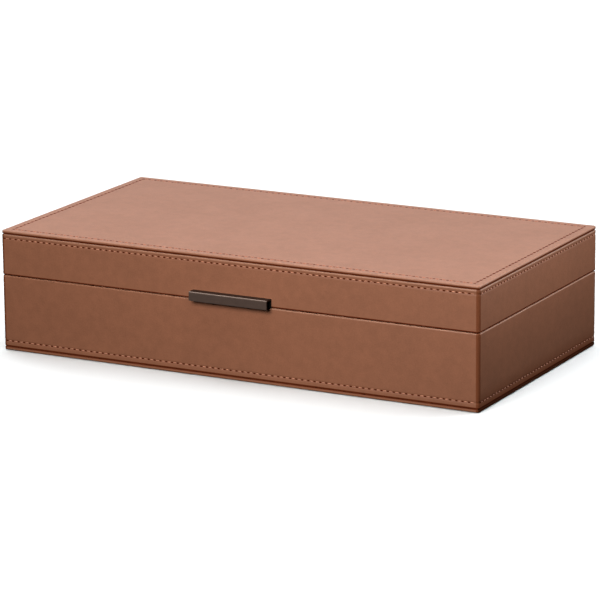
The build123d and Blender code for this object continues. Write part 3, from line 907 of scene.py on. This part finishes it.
class VALET_OT_sewing(bpy.types.Operator):
    """Rows of stitches on the lid wall, the case wall and the top panel"""
    bl_idname = "valet.sewing"
    bl_label = "Sewing"

    def execute(self, context):
        sewing = context.scene.valet_sewing
        depth = context.scene.valet_leather.valley_depth
        case_runs = wall_runs(CASE_LOW[2] + sewing.case_rise, depth)
        lid_runs = wall_runs(LID_HIGH[2] - sewing.lid_drop, depth)
        top_runs = panel_runs(sewing.top_inset, depth)
        wall = (sewing.pitch, sewing.thread, sewing.wall_hole)
        top = (sewing.top_pitch, sewing.top_thread, sewing.long_hole)
        end = (sewing.top_pitch, sewing.top_thread, sewing.end_hole)
        for name, sizes, yarn, runs, body in (
            ("case_stitches", wall, "waxed_thread", case_runs, "case"),
            ("lid_stitches", wall, "waxed_thread", lid_runs, "lid"),
            ("top_panel_long_stitches", top, "panel_thread", top_runs[0::2], "lid"),
            # painted shade: the panel's end rows take the darker copy of the thread
            ("top_panel_short_stitches", end, "dark_thread", top_runs[1::2], "lid"),
        ):
            row = stitch_row(name, *sizes, yarn, runs)
            place_piece(row, body, "tan_leather")
        return {"FINISHED"}


# ---- carried-over solids
class VALET_OT_solids(bpy.types.Operator):
    """Finish of the boards, linings, rails, hinges, drawer and pull"""
    bl_idname = "valet.solids"
    bl_label = "Boards, linings and metal"

    def execute(self, context):
        edge = context.scene.valet_lining.edge_round
        slots = {row["node"]: row["material_slot"] for row in frame["record"]["subparts"]}
        for name, node in frame["nodes"].items():
            slot = slots[name]
            if not node.material_slots:
                raise RuntimeError(f"node {name} has no material slot")
            for holder in node.material_slots:
                holder.link = "OBJECT"
                holder.material = finish_of(slot)
            if slot in ("suede_lining", "hardwood"):
                add_modifier(node, "WELD", merge_threshold=TINY)
                add_modifier(node, "BEVEL", width=edge, segments=3, limit_method="ANGLE",
                             angle_limit=math.radians(50), harden_normals=False)
        return {"FINISHED"}


# ---- cushions
def remesh(piece, voxel):
    """Rebuilds the surface of a closed piece from small even faces."""
    only(piece)
    piece.data.remesh_voxel_size = voxel
    bpy.ops.object.voxel_remesh()


def hold(piece, name, weight):
    """A vertex group whose weight at each point is a function of its place."""
    group = piece.vertex_groups.new(name=name)
    for point in piece.data.vertices:
        group.add([point.index], weight(point.co), "REPLACE")
    return group


def stuff(piece, limit, held):
    """Swells a pad as stuffed cloth; no point moves further than the limit."""
    look = bpy.context.scene.valet_cushion
    start = [point.co.copy() for point in piece.data.vertices]
    group = hold(piece, "held", held)
    cloth = add_modifier(piece, "CLOTH")
    cloth.settings.use_pressure = True
    cloth.settings.uniform_pressure_force = look.pressure
    cloth.settings.effector_weights.gravity = 0
    cloth.settings.vertex_group_mass = group.name
    cloth.point_cache.frame_end = look.frames
    for number in range(1, look.frames + 1):
        bpy.context.scene.frame_set(number)
    apply_modifiers(piece)
    bpy.context.scene.frame_set(1)
    piece.vertex_groups.clear()
    for point, before in zip(piece.data.vertices, start):
        moved = point.co - before
        if moved.length > limit:
            point.co = before + moved * (limit / moved.length)


def shape_points(piece, move):
    """Moves every point to where the function of its place and normal puts it."""
    places = [move(point.co.copy(), point.normal.copy()) for point in piece.data.vertices]
    for point, place in zip(piece.data.vertices, places):
        point.co = place


def soften(piece):
    """Rounds a cushion's surface once more."""
    add_modifier(piece, "SUBSURF", levels=1, render_levels=1)
    apply_modifiers(piece)
    shade(piece, 180.0)


def bell(distance, width):
    """1 at the middle, and 0 from the width on."""
    if abs(distance) >= width:
        return 0.0
    return 0.5 + 0.5 * math.cos(math.pi * distance / width)


class VALET_OT_pillows(bpy.types.Operator):
    """Four stuffed watch pillows with a sewn round end on either side"""
    bl_idname = "valet.pillows"
    bl_label = "Watch pillows"

    def execute(self, context):
        look = context.scene.valet_cushion
        low, high = (Vector(corner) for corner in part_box("watch_pillow_1"))
        middle = (low + high) / 2
        floor = low.z
        seam = (high.x - low.x) / 2 - look.pillow_seam
        room_to_swell = (0.975, 0.95, 0.955)
        first = copy_of_node("watch_pillow_1", "watch_pillow_form")
        edit(first)
        bpy.ops.transform.resize(value=room_to_swell, center_override=(*middle[:2], floor))
        leave_edit()
        remesh(first, look.voxel)

        def held(place):
            return max(
                bell(abs(place.x - middle.x) - seam, 2.2 * look.voxel),
                bell(place.z - floor, 3 * look.voxel),
            )

        stuff(first, look.swell, held)
        soften(first)

        puckers = 29

        def sew(place, normal):
            beside = abs(place.x - middle.x) - seam
            around = math.atan2(place.z - middle.z, place.y - middle.y)
            pucker = 0.22 * MM * math.cos(puckers * around) * bell(beside, 7 * MM)
            fold = 0.35 * MM * noise.noise(place * 70)
            drop = 0.75 * MM * bell(beside, 1.9 * MM)
            moved = place + normal * (pucker + fold - drop)
            moved.z = max(moved.z, floor)
            return moved

        shape_points(first, sew)
        paint(first, "cushion_suede")
        for number in range(1, 5):
            node = f"watch_pillow_{number}"
            shift = Vector(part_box(node)[0]) - low
            pillow = new_object(f"padded_{node}", first.data.copy())
            shape_points(
                pillow,
                lambda place, normal: place + shift
                + normal * (0.3 * MM * noise.noise(place * 45 + Vector((0, 0, number)))),
            )
            for point in pillow.data.vertices:
                point.co.z = max(point.co.z, floor)
            place_piece(pillow, "case", "cushion_suede", node)
        bpy.data.objects.remove(first)
        return {"FINISHED"}


class VALET_OT_rolls(bpy.types.Operator):
    """Soft rolls of the drawer, side by side, which hold rings between them"""
    bl_idname = "valet.rolls"
    bl_label = "Ring rolls"

    def execute(self, context):
        look = context.scene.valet_cushion
        low, high = (Vector(corner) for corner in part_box("ring_rolls"))
        step = (high.x - low.x) / look.rolls
        first = copy_of_node("ring_rolls", "ring_roll_form")
        edit(first)
        select_points(first, lambda p: p.x > low.x + step - 0.1 * MM)
        bpy.ops.mesh.delete(type="VERT")
        bpy.ops.mesh.select_all(action="SELECT")
        centre = (low.x + step / 2, (low.y + high.y) / 2, low.z)
        room_to_swell = (0.90, 0.985, 0.93)
        bpy.ops.transform.resize(value=room_to_swell, center_override=centre)
        leave_edit()
        remesh(first, look.roll_voxel)
        stuff(first, look.roll_swell, lambda place: bell(place.z - low.z, 2 * look.roll_voxel))
        soften(first)
        rolls = []
        for number in range(look.rolls):
            roll = new_object(f"ring_roll_{number}", first.data.copy())
            shift = Vector((number * step, 0, 0))
            own = Vector((0, 0, 3.0 * number))

            def lay(place, normal):
                wave = 0.28 * MM * noise.noise(place * 90 + own)
                slack = 0.25 * MM * noise.noise(Vector((place.y * 60, number, 0)))
                moved = place + shift + normal * (wave + slack)
                moved.z = max(moved.z, low.z)
                return moved

            shape_points(roll, lay)
            rolls.append(roll)
        bpy.data.objects.remove(first)
        piece = joined(rolls)
        piece.name = "padded_ring_rolls"
        paint(piece, "cushion_suede")
        place_piece(piece, "drawer", "cushion_suede", "ring_rolls")
        return {"FINISHED"}


class VALET_OT_ceiling(bpy.types.Operator):
    """Thin padded panel under the top of the lid, crowned and drawn in at its edges"""
    bl_idname = "valet.ceiling"
    bl_label = "Lid padding"

    def execute(self, context):
        look = context.scene.valet_cushion
        low, high = (Vector(corner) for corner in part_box("lid_ceiling_pad"))
        select_nothing()
        bpy.ops.mesh.primitive_grid_add(x_subdivisions=150, y_subdivisions=78, size=2)
        pad = context.object
        pad.name = "padded_ceiling"
        half = (high - low) / 2
        inset = look.pad_inset
        reach = Vector((half.x - inset, half.y - inset))
        pad.scale = (reach.x, reach.y, 1)
        apply_place(pad)
        thickness = high.z - low.z
        flat, thin = 0.86, 0.12  # parts of the thickness beside the crown and at the rim

        def hang(place, normal):
            edge = min(reach.x - abs(place.x), reach.y - abs(place.y))
            rise = min(1.0, edge / look.pad_edge)
            full = math.sqrt(max(0.0, 1 - (1 - rise) ** 2))
            bulge = (1 - (place.x / reach.x) ** 2) * (1 - (place.y / reach.y) ** 2)
            crown = flat + (1 - flat) * bulge
            drape = 0.12 * MM * noise.noise(place * 38) * full
            down = thickness * (thin + (1 - thin) * full * crown) + drape
            return Vector((place.x, place.y, high.z - min(down, thickness)))

        shape_points(pad, hang)
        edit(pad)
        bpy.ops.mesh.select_all(action="DESELECT")
        bpy.ops.mesh.select_mode(type="EDGE")
        bpy.ops.mesh.select_non_manifold()
        bpy.ops.mesh.extrude_region_move(TRANSFORM_OT_translate={"value": (0, 0, 0)})
        mesh = bmesh.from_edit_mesh(pad.data)
        for point in mesh.verts:
            if point.select:
                point.co.z = high.z
        bmesh.update_edit_mesh(pad.data)
        bpy.ops.mesh.edge_face_add()
        bpy.ops.mesh.select_all(action="SELECT")
        bpy.ops.mesh.normals_make_consistent(inside=False)
        leave_edit()
        shade(pad, 50.0)
        paint(pad, "suede_lining")
        place_piece(pad, "lid", "suede_lining", "lid_ceiling_pad")
        return {"FINISHED"}


# ---- stage
def soft_light(name, where, target, size, power, tint=(1.0, 1.0, 1.0), upward="Y"):
    """Area light that looks at a point and isn't seen by the camera."""
    data = bpy.data.lights.new(name, "AREA")
    data.shape = "RECTANGLE"
    data.size, data.size_y = size
    data.energy = power
    data.color = tint
    light = new_object(name, data)
    light.location = where
    light.rotation_mode = "QUATERNION"
    light.rotation_quaternion = (Vector(target) - Vector(where)).to_track_quat("-Z", upward)
    light.visible_camera = False
    return light


def stand_camera():
    """Camera that looks at the front foot of the box."""
    look = bpy.context.scene.valet_stage
    azimuth, elevation = math.radians(look.azimuth), math.radians(look.elevation)
    back = Vector((
        math.sin(azimuth) * math.cos(elevation),
        -math.cos(azimuth) * math.cos(elevation),
        math.sin(elevation),
    ))
    right = (-back).cross(Vector((0, 0, 1))).normalized()
    up = right.cross(-back)
    roll = math.radians(look.roll)
    rolled_right = math.cos(roll) * right + math.sin(roll) * up
    rolled_up = -math.sin(roll) * right + math.cos(roll) * up
    foot = Vector((0, -HALF_DEPTH, 0))
    place = foot + back * look.distance + rolled_right * look.aim_right + rolled_up * look.aim_up
    data = bpy.data.cameras.new("camera")
    data.lens = look.lens
    data.sensor_width = 36.0
    data.clip_start = 0.05
    data.clip_end = 50.0
    camera = new_object("camera", data)
    axes = Matrix((rolled_right, rolled_up, back)).transposed().to_4x4()
    camera.matrix_world = Matrix.Translation(place) @ axes
    bpy.context.scene.camera = camera


def lay_floor():
    """Pale floor that lights nothing, in a collection of its own."""
    select_nothing()
    bpy.ops.mesh.primitive_plane_add(size=12.0, location=(0, 0, 0))
    floor = bpy.context.object
    floor.name = "floor"
    paint(floor, "pale_floor")
    floor.visible_diffuse = False
    floor.visible_glossy = False
    ground = bpy.data.collections.new("ground")
    bpy.context.scene.collection.children.link(ground)
    ground.objects.link(floor)
    return ground


def surround():
    """White surround, as strong as the setting says."""
    world = bpy.data.worlds.new("surround")
    world.use_nodes = True
    background = world.node_tree.nodes["Background"]
    background.inputs["Color"].default_value = (1.0, 1.0, 1.0, 1.0)
    background.inputs["Strength"].default_value = bpy.context.scene.valet_stage.world
    bpy.context.scene.world = world


class VALET_OT_stage(bpy.types.Operator):
    """Camera, pale floor and soft lights"""
    bl_idname = "valet.stage"
    bl_label = "Stage"

    def execute(self, context):
        stand_camera()
        ground = lay_floor()
        surround()
        soft_light("overhead", (0, 0.1, 1.6), (0, 0, 0), (1.8, 1.6), 22.4)
        soft_light("back_high", (0, 1.6, 1.5), (0, 0, 0), (2.4, 1.2), 7.2)
        soft_light("back_low", (-0.3, 2.6, 0.75), (0, 0, 0.1), (3.2, 1.4), 10.2)
        soft_light("left_back", (-1.8, 1.0, 1.1), (0, 0, 0), (1.2, 1.2), 15.6)
        soft_light("right_back", (1.5, 1.5, 1.0), (0, 0, 0), (1.2, 1.0), 10.7)
        face, warm = (0.04, -HALF_DEPTH, 0.04), (1.0, 0.955, 0.915)
        soft_light("front", (0.06, -0.75, 0.42), face, (0.3, 0.3), 1.85, warm)
        soft_light("front_near", (0.10, -0.60, 0.34), face, (0.2, 0.2), 1.15, warm)
        soft_light("front_low", (0.03, -0.55, 0.25), face, (0.2, 0.2), 0.4, warm)
        soft_light("right_rim", (0.240, 0, 0.095), (0.178, 0, 0.06), (0.01, 0.3), 0.055, upward="X")
        wash = soft_light("floor_wash", (0, 1.5, 2.4), (0, 1.5, 0), (4.0, 4.5), 45.0)
        wash.light_linking.receiver_collection = ground
        context.scene.view_settings.view_transform = "Standard"
        return {"FINISHED"}


# ---- panel
class VALET_PT_panel(bpy.types.Panel):
    """Lists the pieces of the box and what can be set on them"""
    bl_idname = "VALET_PT_panel"
    bl_label = "Valet box"
    bl_space_type = "VIEW_3D"
    bl_region_type = "UI"
    bl_category = "Valet Box"

    def draw(self, context):
        for operator in OPERATORS:
            self.layout.operator(operator.bl_idname)
        for attribute, group in SETTINGS:
            box = self.layout.box()
            for key in group.__annotations__:
                box.prop(getattr(context.scene, attribute), key)


SETTINGS = (
    ("valet_leather", LeatherSettings),
    ("valet_sewing", SewingSettings),
    ("valet_lining", LiningSettings),
    ("valet_cushion", CushionSettings),
    ("valet_metal", MetalSettings),
    ("valet_stage", StageSettings),
)
OPERATORS = (
    VALET_OT_solids,
    VALET_OT_covers,
    VALET_OT_sewing,
    VALET_OT_pillows,
    VALET_OT_rolls,
    VALET_OT_ceiling,
    VALET_OT_stage,
)


def register():
    """Adds the settings, the operators and the panel."""
    for attribute, group in SETTINGS:
        bpy.utils.register_class(group)
        setattr(bpy.types.Scene, attribute, PointerProperty(type=group))
    for operator in OPERATORS:
        bpy.utils.register_class(operator)
    bpy.utils.register_class(VALET_PT_panel)


def unregister():
    """Takes them out again."""
    bpy.utils.unregister_class(VALET_PT_panel)
    for operator in reversed(OPERATORS):
        bpy.utils.unregister_class(operator)
    for attribute, group in reversed(SETTINGS):
        delattr(bpy.types.Scene, attribute)
        bpy.utils.unregister_class(group)


def main():
    """Builds the box from nothing but the solid model."""
    register()
    bpy.ops.valet.solids()
    bpy.ops.valet.covers()
    bpy.ops.valet.sewing()
    bpy.ops.valet.pillows()
    bpy.ops.valet.rolls()
    bpy.ops.valet.ceiling()
    bpy.ops.valet.stage()


if __name__ == "__main__":
    main()
